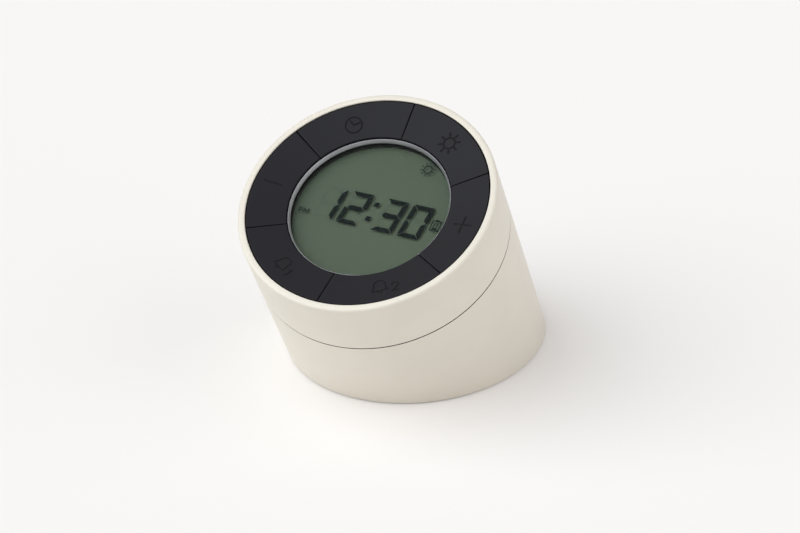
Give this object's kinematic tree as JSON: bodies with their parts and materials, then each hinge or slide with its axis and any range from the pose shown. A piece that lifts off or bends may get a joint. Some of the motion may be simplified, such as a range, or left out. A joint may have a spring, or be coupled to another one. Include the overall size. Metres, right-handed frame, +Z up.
{
  "type": "digital alarm clock",
  "caption": "Leaning cylindrical desk alarm clock: round display in a dished ring of sector keys, cream shell on an oblique foot.",
  "frame": {"origin": "on the resting surface, under the middle of the whole clock", "axes": "+Z up; the face looks towards -Y and up, leaning 29 degrees; +X to the viewer's right"},
  "size_m": [0.08, 0.1152, 0.0824],
  "materials": {
    "casing_plastic": "fine satin, warm off-white",
    "base_plastic": "matte, warm off-white",
    "inner_plastic": "matte black",
    "button_plastic": "satin black",
    "switch_plastic": "matte black",
    "plunger_plastic": "natural",
    "bezel_metal": "satin silver",
    "window_clear": "clear, anti-glare",
    "display_glass": "grey-green liquid crystal",
    "light_acrylic": "white",
    "lamp_resin": "clear resin",
    "strip_rubber": "striped rubber",
    "board_laminate": "green lacquer",
    "chip_resin": "moulded resin",
    "can_metal": "plated can",
    "buzzer_plastic": "moulded",
    "cell_jacket": "plain wrapped jacket",
    "contact_metal": "nickel-plated strip",
    "screw_steel": "zinc-plated",
    "lead_red": "insulated wire",
    "lead_black": "insulated wire",
    "foot_rubber": "matte rubber"
  },
  "bodies": {
    "housing": {"upper_casing": "casing_plastic", "lower_casing": "casing_plastic", "base_plate": "base_plastic", "battery_tray": "inner_plastic", "button_guide": "inner_plastic", "display_frame": "inner_plastic", "battery_cell_front": "cell_jacket", "battery_cell_back": "cell_jacket", "battery_link_plate": "contact_metal", "battery_terminal_plus": "contact_metal", "battery_terminal_minus": "contact_metal", "base_screws": "screw_steel", "board_screws": "screw_steel", "main_board": "board_laminate", "display_bezel": "bezel_metal", "display_window": "window_clear", "display_glass": "display_glass", "light_plate": "light_acrylic", "side_lamp_right": "lamp_resin", "side_lamp_left": "lamp_resin", "connector_strip": "strip_rubber", "battery_lead_plus": "lead_red", "battery_lead_minus": "lead_black", "controller_chip": "chip_resin", "quartz_crystal": "can_metal", "buzzer": "buzzer_plastic", "foot_front_right": "foot_rubber", "foot_front_left": "foot_rubber", "foot_back_right": "foot_rubber", "foot_back_left": "foot_rubber", "switch_light": "switch_plastic", "switch_plus": "switch_plastic", "switch_alarm_2": "switch_plastic", "switch_alarm_1": "switch_plastic", "switch_minus": "switch_plastic", "switch_clock": "switch_plastic"},
    "key_light": {"button_light": "button_plastic", "plunger_light": "plunger_plastic"},
    "key_plus": {"button_plus": "button_plastic", "plunger_plus": "plunger_plastic"},
    "key_alarm_2": {"button_alarm_2": "button_plastic", "plunger_alarm_2": "plunger_plastic"},
    "key_alarm_1": {"button_alarm_1": "button_plastic", "plunger_alarm_1": "plunger_plastic"},
    "key_minus": {"button_minus": "button_plastic", "plunger_minus": "plunger_plastic"},
    "key_clock": {"button_clock": "button_plastic", "plunger_clock": "plunger_plastic"},
    "cover": {"battery_cover": "base_plastic"}
  },
  "joints": [
    {"name": "press_light", "type": "slide", "parent": "housing", "child": "key_light", "axis": [0, 0.4848, -0.8746], "range_m": [0, 0.0005], "stiffness_N_per_m": 3000, "springref_m": -0.0002},
    {"name": "press_plus", "type": "slide", "parent": "housing", "child": "key_plus", "axis": [0, 0.4848, -0.8746], "range_m": [0, 0.0005], "stiffness_N_per_m": 3000, "springref_m": -0.0002},
    {"name": "press_alarm_2", "type": "slide", "parent": "housing", "child": "key_alarm_2", "axis": [0, 0.4848, -0.8746], "range_m": [0, 0.0005], "stiffness_N_per_m": 3000, "springref_m": -0.0002},
    {"name": "press_alarm_1", "type": "slide", "parent": "housing", "child": "key_alarm_1", "axis": [0, 0.4848, -0.8746], "range_m": [0, 0.0005], "stiffness_N_per_m": 3000, "springref_m": -0.0002},
    {"name": "press_minus", "type": "slide", "parent": "housing", "child": "key_minus", "axis": [0, 0.4848, -0.8746], "range_m": [0, 0.0005], "stiffness_N_per_m": 3000, "springref_m": -0.0002},
    {"name": "press_clock", "type": "slide", "parent": "housing", "child": "key_clock", "axis": [0, 0.4848, -0.8746], "range_m": [0, 0.0005], "stiffness_N_per_m": 3000, "springref_m": -0.0002},
    {"name": "cover_turn", "type": "hinge", "parent": "housing", "child": "cover", "pos_m": [0, 0.01212, 0.002], "axis": [0, 0, 1], "range_deg": [0, 30]}
  ]
}
